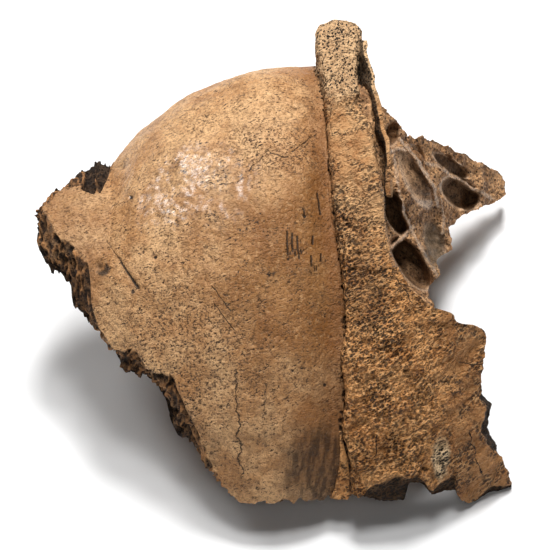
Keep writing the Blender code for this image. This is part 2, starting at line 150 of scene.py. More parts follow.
# (u, v, radius, depth) in mm of the hollows where vessels enter, or the table is dented
FORAMINA = ((-161, 115, 7, 4.0), (-148, 80, 3.2, 3.4), (-121, 18, 2.8, 2.8), (-132, 24, 5, 0.9),
            (-144, -17, 3.5, 1.3), (50, -111, 2.4, 2.6), (-180, 10, 8, 5.0), (-22, 128, 5, 1.0),
            (34, 160, 4, 1.2), (2, -60, 6, 0.8), (-96, -28, 8, 1.1), (-60, 20, 22, 1.2),
            (30, 59, 2.0, 3.2), (28, 67, 1.4, 1.8), (13, 16, 2.2, 3.0), (-98, 51, 1.7, 1.6),
            (-67, 50, 1.7, 1.6), (-15, 62, 1.7, 1.5), (-37, 3, 1.6, 1.5), (-113, -8, 1.8, 1.8),
            (-100, -13, 1.8, 1.6), (-6, 0, 2.6, 1.4), (-70, -5, 1.6, 1.2), (-152, 62, 8, 1.4))
# u, v of both ends, half width and depth in mm of the long slit near the flange
LONG_SLIT = ((-177, 44), (-139, -13), 1.9, 3.0)
# (u, v) in mm of the ends of short slits by the seam, and of the long crack's points
SHORT_SLITS = (((12, 45), (13, 19)), ((17, 43), (18, 22)), ((22, 40), (24, 15)),
               ((29, 67), (30, 57)), ((43, 84), (46, 60)), ((36, 20), (37, 8)),
               ((46, 22), (46, 13)), ((38, 40), (38, 30)))
LONG_CRACK = ((-70, 92), (-38, 91), (-29, 103), (-8, 127), (10, 118), (26, 133), (46, 146))


def through(stations, at):
    """A smooth line through (station, value) pairs, both in the stations' units."""
    if at <= stations[0][0]:
        return stations[0][1]
    if at >= stations[-1][0]:
        return stations[-1][1]
    k = max(i for i, s in enumerate(stations) if s[0] <= at)
    (x0, y0), (x1, y1) = stations[k], stations[k + 1]
    before = stations[max(k - 1, 0)]
    after = stations[min(k + 2, len(stations) - 1)]
    m0 = (y1 - before[1]) / (x1 - before[0]) * (x1 - x0)
    m1 = (after[1] - y0) / (after[0] - x0) * (x1 - x0)
    t = (at - x0) / (x1 - x0)
    t2, t3 = t * t, t * t * t
    return ((2 * t3 - 3 * t2 + 1) * y0 + (t3 - 2 * t2 + t) * m0
            + (3 * t2 - 2 * t3) * y1 + (t3 - t2) * m1)


def metres(stations, at):
    """The same, where stations and values are both lengths in mm."""
    return through(stations, at / MM) * MM


def between(low, high, share):
    """Part of the way from low to high."""
    return low + (high - low) * share


def ease(low, high, at):
    """0 below low and 1 above high, with a smooth rise."""
    t = max(0.0, min(1.0, (at - low) / (high - low)))
    return t * t * (3 - 2 * t)


def rough(place, width, height):
    """Smooth unevenness, in metres."""
    return height * noise.noise(place / width + Vector((0, 0, 3.1)))


def crumbly(place, width, height):
    """Unevenness with finer and finer grains on it, in metres."""
    return height * noise.fractal(place / width + Vector((0, 5.1, 0)), 0.9, 2.1, 4)


def cells(place, size, wall=0.10, soft=0.35):
    """1 in the middle of each open cell of spongy bone, 0 on the walls between the cells."""
    near = noise.voronoi(place / size)[0]
    return ease(wall, wall + soft, near[1] - near[0])


def vault(u, angle, sink=0.0):
    """A point of the smooth vault, or `sink` below it, at an angle in degrees up over it."""
    turn = math.radians(angle)
    rise = metres(CROWN, u) - ARC_V - sink
    return Vector((u, ARC_V + rise * math.sin(turn),
                   ARC_W + metres(SIDE, u) + (ARC_DEPTH - sink) * math.cos(turn)))


def vault_angle(u, v):
    """How many degrees up over the vault a point of it lies."""
    share = (v - ARC_V) / (metres(CROWN, u) - ARC_V)
    return math.degrees(math.asin(max(-1.0, min(1.0, share))))


def shell(columns, rows, layers, place):
    """A closed shell set out by place(across, along, depth), each from 0 to 1.

    Depth 0 is its outer face and 1 its inner face, with `layers` rings of faces between them
    all round its broken rim. The depth layer keeps how far down each point lies.
    """
    bm = bmesh.new()
    depth_of = bm.verts.layers.float.new("depth")
    bmesh.ops.create_grid(bm, x_segments=columns, y_segments=rows, size=0.5)
    faces = bm.faces[:]
    for layer in range(layers):
        made = bmesh.ops.extrude_face_region(bm, geom=faces)["geom"]
        raised = [v for v in made if isinstance(v, bmesh.types.BMVert)]
        bmesh.ops.translate(bm, vec=(0, 0, 1 / layers), verts=raised)
        if layer:
            bmesh.ops.delete(bm, geom=faces, context="FACES")
        faces = [f for f in made if isinstance(f, bmesh.types.BMFace)]
    for vert in bm.verts:
        across, along = vert.co.x + 0.5, vert.co.y + 0.5
        depth = 1 - round(vert.co.z * layers) / layers
        vert[depth_of] = depth
        if depth in (0, 1):
            vert.co = place(across, along, depth)
        else:
            vert.co = place(across, along, 0).lerp(place(across, along, 1), depth)
    bmesh.ops.recalc_face_normals(bm, faces=bm.faces[:])
    if bm.calc_volume(signed=True) < 0:
        bmesh.ops.reverse_faces(bm, faces=bm.faces[:])
    return bm


def wear(bm, relief):
    """Moves every point along its normal, and keeps two marks for the shader on it.

    relief(place, depth) gives the move in metres, how hollow the place is, and how coarse or
    worn it is, both from 0 to 1. The finishes paint shade into the hollow places. The second mark
    also holds the seam's valley, which the wall's finish paints in shade, and the open cells'
    floors and partition edges, which the cellular finish paints in light.
    """
    depth_of = bm.verts.layers.float.get("depth") or bm.verts.layers.float.new("depth")
    hollow_of = bm.verts.layers.float.new("hollow")
    coarse_of = bm.verts.layers.float.new("coarse")
    bm.normal_update()
    moves = [(vert, *relief(vert.co.copy(), vert[depth_of])) for vert in bm.verts]
    for vert, push, hollow, coarse in moves:
        vert.co += vert.normal * push
        vert[hollow_of] = max(0.0, min(1.0, hollow))
        vert[coarse_of] = max(0.0, min(1.0, coarse))
    return bm


def finished(name, bm, finish, nodes):
    """The shaped bone as a piece of the model, standing for its CAD nodes."""
    bm.transform(FACE)
    for vert in bm.verts:
        vert.co.z = max(vert.co.z, 0.0)  # nothing reaches below the floor
    mesh = bpy.data.meshes.new(name)
    bm.to_mesh(mesh)
    bm.free()
    mesh.shade_smooth()
    mesh.materials.append(finish.material)
    piece = bpy.data.objects.new(name, mesh)
    scene.collection.objects.link(piece)
    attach(piece, "root")
    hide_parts(*nodes)


class Link:
    """A value in a shader. Sums on it add their Math nodes."""

    def __init__(self, finish, socket):
        self.finish = finish
        self.socket = socket

    def __add__(self, other):
        return self.finish.maths("ADD", self, other)

    def __sub__(self, other):
        return self.finish.maths("SUBTRACT", self, other)

    def __rsub__(self, other):
        return self.finish.maths("SUBTRACT", other, self)

    def __mul__(self, other):
        return self.finish.maths("MULTIPLY", self, other)

    __radd__ = __add__
    __rmul__ = __mul__


class Finish:
    """A bone's surface: its Principled shader and the patterns that feed it.

    `at` is the place in the face's frame and `on_face` the same with its height left out. The
    other three, made once for all marks, bend a mark's outline: `wander` for a blot, `uneven`
    for a spot and `sway` for a crack.
    """
    SPOT_UNEVEN = 0.003

    def __init__(self, name):
        self.material = bpy.data.materials.new(name)
        self.material.use_nodes = True
        self.tree = self.material.node_tree
        self.shader = self.tree.nodes["Principled BSDF"]
        self.shader.inputs["Specular IOR Level"].default_value = 0.3
        back = FACE.inverted()
        where = self.node("TexCoord", {}, {}, "Object")
        self.at = self.node("Mapping", {}, {"Vector": where, "Location": back.to_translation(),
                                            "Rotation": back.to_euler()})
        self.on_face = self.vector("MULTIPLY", self.at, (1, 1, 0))
        wide = self.node("TexNoise", {}, {"Vector": self.at, "Scale": 60, "Detail": 3}, "Color")
        self.wander = self.vector("SUBTRACT", wide, (0.5, 0.5, 0.5))
        fine = self.node("TexNoise", {}, {"Vector": self.at, "Scale": 400, "Detail": 1}, "Color")
        shift = (self.SPOT_UNEVEN, self.SPOT_UNEVEN, 0)
        self.uneven = self.vector("MULTIPLY_ADD", fine, shift, self.on_face)
        self.sway = self.grain(0.012, 3) - 0.5

    def node(self, kind, settings, values, output=0):
        """A new node, with its settings made and its sockets filled or linked."""
        made = self.tree.nodes.new("ShaderNode" + kind)
        for key, value in settings.items():
            setattr(made, key, value)
        for key, value in values.items():
            if isinstance(value, Link):
                self.tree.links.new(value.socket, made.inputs[key])
            else:
                made.inputs[key].default_value = value
        return Link(self, made.outputs[output])

    def maths(self, operation, *values):
        return self.node("Math", {"operation": operation}, dict(enumerate(values)))

    def vector(self, operation, *values, output=0):
        return self.node("VectorMath", {"operation": operation}, dict(enumerate(values)), output)

    def grain(self, size, detail=3, at=None):
        """Cloudy noise from 0 to 1, about 0.5, with blots of `size` metres."""
        return self.node("TexNoise", {}, {"Vector": at or self.at, "Scale": 1 / size,
                                          "Detail": detail, "Roughness": 0.6}, "Fac")

    def step(self, value, low, high):
        """0 below low and 1 above high, with a smooth rise; the other way round if low > high."""
        return self.node("MapRange", {"interpolation_type": "SMOOTHSTEP"},
                         {"Value": value, "From Min": low, "From Max": high})

    def mix(self, share, first, second):
        """The first colour with a share of the second laid over it."""
        first, second = [c if isinstance(c, Link) else (*c, 1) for c in (first, second)]
        return self.node("Mix", {"data_type": "RGBA"}, {0: share, 6: first, 7: second}, 2)

    def lay(self, share, tint):
        """Lays a share of one more tint over the bone's colour."""
        self.colour = self.mix(share, self.colour, tone(*tint))

    def streaked(self, longer, turn):
        """Coordinates for a pattern drawn out along a line that is `turn` degrees up."""
        return self.node("Mapping", {"vector_type": "TEXTURE"},
                         {"Vector": self.at, "Rotation": (0, 0, math.radians(turn)),
                          "Scale": (longer, 1, 1)})

    def most(self, *values):
        """The largest of the values at each place."""
        largest = values[0]
        for value in values[1:]:
            largest = self.maths("MAXIMUM", largest, value)
        return largest

    def pores(self, size, share, radius, at=None):
        """Round holes `size` metres apart: a share of them open, with uneven radii."""
        spots = {"Vector": at or self.at, "Scale": 1 / size}
        near = self.node("TexVoronoi", {}, spots, "Distance")
        chance = self.node("SeparateColor", {}, {0: self.node("TexVoronoi", {}, spots, "Color")})
        shown = self.step(chance, 1 - share, 1.1 - share)
        return shown * (1 - self.step(near, radius * 0.6, radius))

    def spot(self, u, v, radius):
        """1 inside one small round mark on the face, given in mm."""
        shift = self.SPOT_UNEVEN / 2
        middle = (u * MM + shift, v * MM + shift, 0)
        far = self.vector("DISTANCE", self.uneven, middle, output="Value")
        return self.step(far, radius * MM, radius * 0.6 * MM)

    def blot(self, centre, radii, ragged=0.012):
        """A soft-edged stain on the face: centre and radii in mm as (u, v)."""
        moved = self.vector("MULTIPLY_ADD", self.wander, (ragged * 3,) * 3, self.on_face)
        scale = [1 / (radius * MM) for radius in radii]
        back = (-centre[0] * MM * scale[0], -centre[1] * MM * scale[1], 0)
        local = self.vector("MULTIPLY_ADD", moved, (*scale, 0), back)
        return self.step(self.vector("LENGTH", local, output="Value"), 1.0, 0.45)

    def crack(self, start, end, width, astray):
        """A hairline between two (u, v) points in mm, which sways within `astray` metres."""
        (u0, v0), (u1, v1) = start, end
        middle = Vector(((u0 + u1) / 2, (v0 + v1) / 2, 0)) * MM
        turn = math.atan2(v1 - v0, u1 - u0)
        local = self.vector("SUBTRACT", self.at, middle)
        local = self.node("Mapping", {}, {"Vector": local, "Rotation": (0, 0, -turn)})
        run = self.node("SeparateXYZ", {}, {0: local}, "X")
        off = Link(self, run.socket.node.outputs["Y"]) + self.sway * astray
        half = math.hypot(u1 - u0, v1 - v0) / 2 * MM
        line = self.step(self.maths("ABSOLUTE", off), width, width * 0.3)
        return line * self.step(self.maths("ABSOLUTE", run), half, half * 0.9)

    def part(self, axis):
        """One of the face's coordinates: X to the right, Y up or Z out of it."""
        return self.node("SeparateXYZ", {}, {0: self.at}, axis)

    def attribute(self, name):
        """What `wear` or `shell` has kept at each point."""
        return self.node("Attribute", {"attribute_name": name}, {}, "Fac")

    def close(self, roughness, height, bump, coat=None):
        """Feeds the shader. Height is in units of `bump` metres, and coat is a waxy gloss."""
        if coat:
            self.tree.links.new(coat.socket, self.shader.inputs["Coat Weight"])
            self.shader.inputs["Coat Roughness"].default_value = 0.24
            self.shader.inputs["Coat IOR"].default_value = 1.65
        self.tree.links.new(self.colour.socket, self.shader.inputs["Base Color"])
        self.tree.links.new(roughness.socket, self.shader.inputs["Roughness"])
        normal = self.node("Bump", {}, {"Height": height, "Distance": bump, "Strength": 1})
        self.tree.links.new(normal.socket, self.shader.inputs["Normal"])


def tone(red, green, blue):
    """A colour given as it looks, from 0 to 255, in the shader's linear units."""
    return tuple(((c / 255 + 0.055) / 1.055) ** 2.4 for c in (red, green, blue))


def skin_place(across, along, depth):
    """The flange and the wall beside it as one skin."""
    left = FLANGE_LEFT_SPONGE if depth else FLANGE_LEFT
    column_u = between(left, SEAM_U, across)
    edge = Vector((column_u, 0.5 * depth, 0))
    ragged = crumbly(edge, EDGE_TOOTH, EDGE_RAGGED + SPONGE_RAGGED * depth)
    ragged += EDGE_WORN * (1 - depth)
    if column_u < FLANGE_U:
        low = FLANGE_LOW_SPONGE if depth else FLANGE_LOW
        high = FLANGE_HIGH_SPONGE if depth else FLANGE_HIGH
        free = ease(FLANGE_U, FLANGE_U - 0.015, column_u)
        v = between(metres(low, column_u) + ragged, metres(high, column_u) - ragged * free, along)
        meet = vault(FLANGE_U, vault_angle(FLANGE_U, v), WALL * depth).z
        fall = FLANGE_FALL * (FLANGE_U - column_u) + WALL * depth / 5
        return Vector((column_u, v, meet - fall))
    low = LOW_SPONGE if depth else LOW_EDGE
    start = vault_angle(column_u, metres(low, column_u) + ragged)
    uneven_back = crumbly(edge, 0.03, 4.0) * ease(FLANGE_U, FLANGE_U + 0.02, column_u)
    stop = through(BACK_EDGE, column_u / MM) + uneven_back
    # the rows lie closer together towards the broken edge below
    angle = between(start, stop, 0.66 * along + 0.34 * along ** 2.4)
    share = (column_u - FLANGE_U) / (SEAM_U - FLANGE_U)
    u = between(FLANGE_U, through(SEAM, angle) * MM - GAP / 2, share)
    return vault(u, angle, WALL * depth)


def pocket(at, u, v, radius):
    """1 in the middle of a round hollow of the face, falling to 0 about two radii out."""
    far = math.hypot(at.x / MM - u, at.y / MM - v) / radius
    return math.exp(-1.6 * far * far) if far < 2.4 else 0.0


def sponge_relief(at, depth):
    """The broken rim: crumbled spongy bone, and the flange's open cell with its thin partition."""
    broken = cells(at, 0.0062, 0.06)
    fine = cells(at, 0.0028, 0.06)
    cell = ease(*AIR_CELL_LEFT, at.x) * ease(*AIR_CELL_RIGHT, at.x) * ease(*AIR_CELL_LOW, at.y)
    # a thin partition stands at a slant across the cell
    partition = ease(0.0008, 0.0020, abs(at.x + 0.1885 + 0.2 * (at.y - 0.1)))
    inner = ease(0.85, 1, depth)
    push = 0.0018 + crumbly(at, 0.009, 0.0046) * (1 - inner) - 0.0046 * broken - 0.0012 * fine
    hole = cell * partition * ease(0.03, 0.2, depth) * (1 - inner)
    # the second value is where shade is painted: the sponge's cells, the open air cell and the
    # inner face
    return push - AIR_CELL_DEEP * hole, 0.75 * broken + 0.35 * fine + hole + 0.5 * inner, 1.0


def skin_relief(at, depth):
    """The table's swells, hollows and long slit, with the sponge of its rim below them."""
    if depth:
        return sponge_relief(at, depth)
    flat = ease(-0.150, -0.200, at.x)
    push = sum(rough(at, *swell) for swell in WALL_SWELLS)
    push += flat * (rough(at, 0.026, 0.0030) + crumbly(at, 0.010, 0.0012))
    # how hollow each dent is, where the finish paints shade
    hollow = 0.0
    for u, v, radius, deep in FORAMINA:
        dent = pocket(at, u, v, radius)
        push -= deep * MM * dent
        hollow += dent * dent * min(1.0, deep / radius)
    (u0, v0), (u1, v1), half, deep = LONG_SLIT
    run = Vector((u1 - u0, v1 - v0))
    here = Vector((at.x / MM - u0, at.y / MM - v0))
    share = max(0.0, min(1.0, here.dot(run) / run.length_squared))
    far = (here - run * share).length / (half * (0.35 + 0.65 * share))
    dent = math.exp(-far * far) * share
    seam_u = through(SEAM, vault_angle(at.x, at.y)) * MM
    # the seam's valley: sunk into the table, and painted in shade by the finish
    shaded_valley = ease(0.034, 0.002, seam_u - at.x)
    return push - deep * MM * dent - SEAM_VALLEY * shaded_valley, hollow + dent, max(flat, shaded_valley)


PORE_DARK = (40, 28, 19)

smooth_bone = Finish("smooth_bone")
# where the bone is flat, tanned, snapped off, sunk at the seam, or waxy and without pits
flat = smooth_bone.step(smooth_bone.part("X"), -0.150, -0.205)
tanned = smooth_bone.most(smooth_bone.blot((22, 0), (112, 125)),
                          smooth_bone.blot((50, 60), (34, 90)))
coarse = smooth_bone.attribute("coarse")
snapped_and_shaded = smooth_bone.step(smooth_bone.attribute("depth"), 0.02, 0.08)
shaded_valley = smooth_bone.step(coarse - flat, 0.05, 1.0) * (1 - snapped_and_shaded)
lower_left = smooth_bone.blot((-95, -85), (110, 100))
waxy = smooth_bone.most(smooth_bone.blot((-8, 78), (86, 26)),
                        smooth_bone.blot((44, 50), (24, 86)))
rugged = smooth_bone.most(snapped_and_shaded, 1 - 0.70 * waxy)
# its grain, from broad clouds to fine dashes
cloud = smooth_bone.grain(0.045, 4)
speck = smooth_bone.grain(0.0014, 2)
dash = smooth_bone.grain(0.0019, 2, smooth_bone.streaked(2.0, 25))
patchy = 0.30 + smooth_bone.step(smooth_bone.grain(0.011, 4), 0.44, 0.60) * 0.70
grit = smooth_bone.grain(0.0050, 4)
pale = smooth_bone.mix(tanned, tone(220, 174, 124), tone(178, 127, 76))
dark = smooth_bone.mix(tanned, tone(184, 133, 84), tone(148, 98, 50))
smooth_bone.colour = smooth_bone.mix(smooth_bone.step(cloud, 0.35, 0.65), dark, pale)
smooth_bone.lay(smooth_bone.step(grit, 0.50, 0.66) * 0.38 * rugged, (122, 80, 46))
smooth_bone.lay(smooth_bone.step(grit, 0.47, 0.34) * 0.30, (236, 190, 138))
smooth_bone.lay(smooth_bone.step(speck, 0.54, 0.62) * 0.45 * rugged, (88, 56, 30))
smooth_bone.lay(smooth_bone.step(dash, 0.57, 0.62) * 0.95 * rugged * patchy, (48, 31, 18))
# broad changes of tone: worn and mottled patches, the flange, painted shade with a warmer tone in
# the seam's valley, and darker towards the bottom right in vertical streaks
worn = smooth_bone.step(smooth_bone.grain(0.020, 5), 0.50, 0.64)
smooth_bone.lay(worn * 0.22, (146, 112, 76))
smooth_bone.lay(flat * 0.42, (136, 96, 60))
mottled = smooth_bone.step(smooth_bone.grain(0.012, 4), 0.50, 0.62)
smooth_bone.lay(mottled * 0.22, (124, 82, 46))
smooth_bone.lay(shaded_valley * 0.50, (126, 76, 34))
smooth_bone.lay(smooth_bone.blot((46, -165), (36, 66)) * 0.55, (140, 86, 38))
streak = smooth_bone.step(smooth_bone.grain(0.0060, 3, smooth_bone.streaked(7, 88)), 0.40, 0.60)
# darker towards the bottom right beside the seam, in vertical streaks
darker_low_right = smooth_bone.blot((46, -196), (54, 60), 0.006) * (0.55 + 0.45 * streak)
smooth_bone.lay(darker_low_right * 0.85, (50, 33, 18))
# flecks, pores, short slits by the seam and cracks
fleck = smooth_bone.step(smooth_bone.grain(0.0027, 2), 0.57, 0.64)
fleck = fleck * smooth_bone.most(smooth_bone.step(smooth_bone.grain(0.024, 4), 0.52, 0.62),
                                 lower_left, smooth_bone.blot((0, 128), (70, 40)))
pore = smooth_bone.pores(0.0030, 0.45, 0.42) * (0.25 + 0.75 * lower_left)
slits = smooth_bone.pores(0.0030, 0.50, 0.40, smooth_bone.streaked(4.0, 90))
slits = slits * smooth_bone.most(smooth_bone.blot((19, 27), (15, 24)),
                                 smooth_bone.blot((42, 12), (14, 18)))
for start, end in SHORT_SLITS:
    slits = smooth_bone.most(slits, smooth_bone.crack(start, end, 0.0014, 0.003))
cracks = smooth_bone.most(smooth_bone.crack((-40, -92), (-34, -206), 0.0009, 0.016),
                          smooth_bone.crack((-8, -60), (-12, -160), 0.0006, 0.020) * worn,
                          smooth_bone.crack((-64, -10), (-44, -36), 0.0007, 0.006),
                          smooth_bone.crack((-62, -28), (-40, -56), 0.0007, 0.006))
broken = smooth_bone.step(smooth_bone.grain(0.0045, 3), 0.42, 0.52)
for start, end in zip(LONG_CRACK, LONG_CRACK[1:]):
    cracks = smooth_bone.most(cracks, smooth_bone.crack(start, end, 0.0010, 0.010) * broken)
cracks = smooth_bone.most(cracks, smooth_bone.crack((-174, 37), (-139, -13), 0.0007, 0.004) * 0.6,
                          smooth_bone.crack((-158, 14), (-139, -13), 0.0015, 0.003))
marks = smooth_bone.most(cracks, slits, pore * 0.8, fleck * 0.75)
smooth_bone.lay(marks * 0.88, PORE_DARK)
# painted shade in the mouths of small vessel holes, and a painted shadow as a crescent in the
# flange's large hollow
holes = smooth_bone.spot(-176, 6, 9) * (1 - smooth_bone.spot(-181, 11, 9))
for u, v, radius, depth in FORAMINA:
    if radius < 4:
        holes = smooth_bone.most(holes, smooth_bone.spot(u, v, radius * 0.75))
smooth_bone.lay(holes * 0.88, PORE_DARK)
# the sponge of the broken rim: black pores, a darker brown that is partly painted shade, paler
# ridges that are partly painted light, and painted shade in its hollows
at_the_seam = smooth_bone.step(smooth_bone.part("X"), 0.030, 0.050)
spongy = smooth_bone.most(smooth_bone.pores(0.0042, 0.8, 0.46), smooth_bone.step(grit, 0.54, 0.60))
spongy = spongy * snapped_and_shaded * (1 - at_the_seam)
smooth_bone.lay(spongy * 0.92, (22, 15, 10))
hollows = smooth_bone.attribute("hollow")
smooth_bone.lay(snapped_and_shaded * 0.50, (78, 46, 22))
smooth_bone.lay(snapped_and_shaded * smooth_bone.step(hollows, 0.30, 0.05) * 0.6, (210, 148, 92))
# painted shade in the hollows: the vessel holes, the long slit, the open air cell, the sponge's
# cells and the inner face
smooth_bone.lay(smooth_bone.step(hollows, 0.05, 0.9) * 0.86, (28, 20, 15))
height = grit * 1.0 - smooth_bone.step(dash, 0.52, 0.62) * 0.22 - speck * 0.4 - marks * 0.6 - spongy
glossy = smooth_bone.step(smooth_bone.grain(0.0026, 3, smooth_bone.streaked(2.2, 25)), 0.42, 0.60)
glossy = (0.30 + 0.70 * glossy) * smooth_bone.blot((-92, 88), (84, 66)) * (1 - snapped_and_shaded)
shine = 0.40 + speck * 0.15 + snapped_and_shaded * 0.3
smooth_bone.close(shine, height, 0.0018, glossy)

skin = wear(shell(170, 225, 9, skin_place), skin_relief)
finished("wall_and_flange_bone", skin, smooth_bone, ["parietal_wall", "temporal_flange"])


# ---------- the nuchal crest
# The thick raised ridge where the neck muscles held: open, very porous sponge at its knobbed
# top, coarser crust below, rounded along both edges and standing proud of the smooth wall.
CREST_FOOT = 14  # from this angle up over the vault to the next, in degrees
CREST_TOP = 102
CREST_UNDER = 1.5  # degrees by which its foot runs in under the plate's top edge
CREST_TUCK = 0.004  # how far down it goes there
# (u, w) in mm of its side line, (degrees, mm) by which it stands proud, and (degrees, u in mm)
# of its left and right edges
BAND_SIDE = ((45, -12), (60, -10), (75, -6), (100, 1), (130, -1), (160, -12), (190, -28),
             (215, -42), (250, -60))
CREST_LIFT = ((-40, 0), (14, 2), (45, 14), (62, 26), (80, 42), (105, 38))
CREST_LEFT = ((14, 68), (28, 60), (47, 54), (60, 50), (75, 44), (85, 46), (92, 52), (104, 60))
CREST_RIGHT = ((14, 121), (18, 117), (22, 112), (26, 110), (31, 111), (35, 107), (38, 103),
               (44, 99), (49, 92), (52, 86), (63, 85), (73, 88), (80, 91), (92, 84), (104, 76))
CREST_THICK = 0.034
CREST_ROUND = 0.010
CREST_SWELL = 0.006
KNOB_FROM = 0.75
KNOB_DROP = 0.030
KNOB_CROWN = 0.016


def band(u, angle, sink, lift=0.0):
    """A point below the crest's and the occipital plate's face, which stands `lift` proud."""
    turn = math.radians(angle)
    rise = metres(CROWN, u) + lift - ARC_V - sink
    return Vector((u, ARC_V + rise * math.sin(turn),
                   ARC_W + metres(BAND_SIDE, u) + (ARC_DEPTH - sink) * math.cos(turn)))


def rounding(to_edge, width):
    """0 away from an edge, rising to 1 at it, as a quarter circle seen from its end."""
    inside = max(0.0, 1 - to_edge / width)
    return 1 - math.sqrt(1 - inside * inside)


def crest_place(across, along, depth):
    """The crest, with rounded sides, a crowned knob and uneven swells."""
    angle = between(CREST_FOOT - CREST_UNDER, CREST_TOP, along)
    left = through(CREST_LEFT, angle) * MM + GAP / 2
    ragged = crumbly(Vector((angle / 300, depth, 0.7)), 0.02, 0.003)
    u = between(left, through(CREST_RIGHT, angle) * MM + ragged, across)
    if depth:
        return band(u, angle, CREST_THICK)
    knob = max(0.0, along - KNOB_FROM) / (1 - KNOB_FROM)
    drop = CREST_ROUND * (0.6 * rounding(across, 0.14) + rounding(1 - across, 0.12))
    drop += KNOB_DROP * rounding(1 - along, 0.10) + KNOB_CROWN * (knob * (2 * across - 1)) ** 2
    inside = math.sin(math.pi * across) * ease(0, 0.2, 1 - along)
    drop -= rough(band(u, angle, 0), 0.028, CREST_SWELL) * inside
    drop += CREST_TUCK * ease(CREST_FOOT, CREST_FOOT - CREST_UNDER, angle)
    return band(u, angle, drop, through(CREST_LIFT, angle) * MM)


def crest_relief(at, depth):
    """Crust and pits, coarsest on the knob and at the foot beside the seam."""
    knobbed = ease(0.165, 0.185, at.y + rough(at, 0.02, 0.012))
    foot = ease(0.110, 0.060, at.y)
    coarse = max(knobbed, foot * ease(0.115, 0.070, at.x))
    pits, grains = cells(at, 0.0042, 0.06), cells(at, 0.0024, 0.08)
    broken = ease(0.06, 0.25, depth)
    push = 0.0012 + crumbly(at, 0.011, 0.0020)
    push -= (0.0005 + 0.0013 * coarse + 0.0014 * broken) * pits + 0.0005 * grains
    # the second value is where shade is painted: the pits and the broken rim
    return push, (0.10 + 0.40 * coarse) * pits + 0.45 * broken, coarse


# the ends (u, v) in mm of cracks in the crust, and their width and sway in metres
CRUST_CRACKS = (((184, -88), (206, -92), 0.0006, 0.008), ((197, -157), (213, -208), 0.0008, 0.014),
                ((102, -160), (101, -184), 0.0009, 0.010), ((122, -2), (138, -28), 0.0006, 0.008))

rough_bone = Finish("rough_bone")
# where the crust is coarse, snapped off, scarred, or the open sponge of the knob
slanted = rough_bone.streaked(1.7, 34)
coarse = rough_bone.attribute("coarse")
beyond_seam = rough_bone.step(rough_bone.part("X"), 0.074, 0.084)
snapped_and_shaded = rough_bone.step(rough_bone.attribute("depth"), 0.04, 0.2) * beyond_seam
cloud = rough_bone.grain(0.030, 5)
speck = rough_bone.grain(0.0015, 2, slanted)
grit = rough_bone.grain(0.0030, 3, slanted)
small = rough_bone.pores(0.0022, 0.85, 0.50, slanted)
large = rough_bone.pores(0.0036, 0.80, 0.50, slanted)
patch = rough_bone.step(rough_bone.grain(0.020, 4), 0.44, 0.58)
scar = rough_bone.blot((167, -188), (11, 28), 0.006)
knobbed = rough_bone.step(rough_bone.part("Y") + (rough_bone.grain(0.010, 4) - 0.5) * 0.07,
                          0.172, 0.196)
open_part = rough_bone.most(coarse * 0.9, patch * 0.8, snapped_and_shaded, scar) * (1 - knobbed)
# pores in two sizes, the knob's own, and cracks
holes = rough_bone.most(small * (0.06 + 0.94 * open_part),
                        large * open_part,
                        rough_bone.pores(0.0027, 0.75, 0.50,
                                         rough_bone.streaked(1.4, 70)) * knobbed,
                        rough_bone.step(grit, 0.60, 0.63) * knobbed,
                        rough_bone.step(grit, 0.58, 0.62) * open_part,
                        *[rough_bone.crack(*line) for line in CRUST_CRACKS])
# pale tan above and more orange below, greyer at the far right
low = rough_bone.step(rough_bone.part("Y"), 0.080, -0.010)
pale = rough_bone.mix(low, tone(218, 168, 116), tone(240, 174, 108))
dark = rough_bone.mix(low, tone(188, 134, 84), tone(194, 130, 70))
rough_bone.colour = rough_bone.mix(rough_bone.step(cloud, 0.38, 0.62), dark, pale)
rough_bone.lay(rough_bone.step(rough_bone.grain(0.013, 4), 0.52, 0.66) * 0.4, (168, 100, 42))
rough_bone.lay(rough_bone.step(rough_bone.part("X"), 0.150, 0.195) * 0.55, (136, 92, 52))
rough_bone.lay(rough_bone.step(grit, 0.50, 0.62) * (0.12 + 0.25 * open_part), (104, 66, 34))
rough_bone.lay(rough_bone.step(grit, 0.50, 0.38) * (0.10 + 0.35 * open_part), (250, 206, 150))
rough_bone.lay(rough_bone.most(scar * 0.9, knobbed * 0.42), (252, 218, 172))
shaded = rough_bone.blot((94, -12), (26, 62))
rough_bone.lay(shaded * 0.45, (98, 64, 36))
rough_bone.lay(rough_bone.step(speck, 0.54, 0.64) * (0.20 + 0.30 * open_part), (84, 54, 30))
rough_bone.lay(holes * 0.97, (14, 9, 6))
hollows = rough_bone.attribute("hollow")
# painted shade in the pits, dents and broken rims
rough_bone.lay(rough_bone.step(hollows, 0.1, 0.9) * 0.55, (40, 27, 18))
# painted shade: the snapped rims and undersides beyond the seam drawn near black
rough_bone.lay(snapped_and_shaded * 0.78, (32, 22, 14))
height = 1 - grit * 1.4 - speck * 0.5 - holes * 0.5
rough_bone.close(0.46 + speck * 0.2 + snapped_and_shaded * 0.3, height, 0.0028)

crest = wear(shell(52, 380, 18, crest_place), crest_relief)
finished("nuchal_crest_bone", crest, rough_bone, ["nuchal_crest"])


# ---------- the occipital plate
# The thin rough plate that flares out below the crest towards the neck joint. Its crust is
# pitted and furrowed from lower left to upper right, and its free edges are broken.
PLATE_LOW_V = -0.226
PLATE_TOP_V = 0.013
PLATE_U = 0.090
PLATE_THICK = 0.011
PLATE_SWELL = 0.0045
PLATE_RAGGED = 0.003
# (v, u) in mm of its right edge
PLATE_RIGHT = ((-226, 247), (-215, 243), (-204, 238), (-185, 231), (-165, 222), (-158, 218),
               (-145, 220), (-133, 221), (-125, 213), (-112, 210), (-92, 211), (-78, 214),
               (-60, 213), (-53, 207), (-49, 190), (-46, 182), (-38, 176), (-31, 158),
               (-22, 144), (-5, 131), (13, 121))
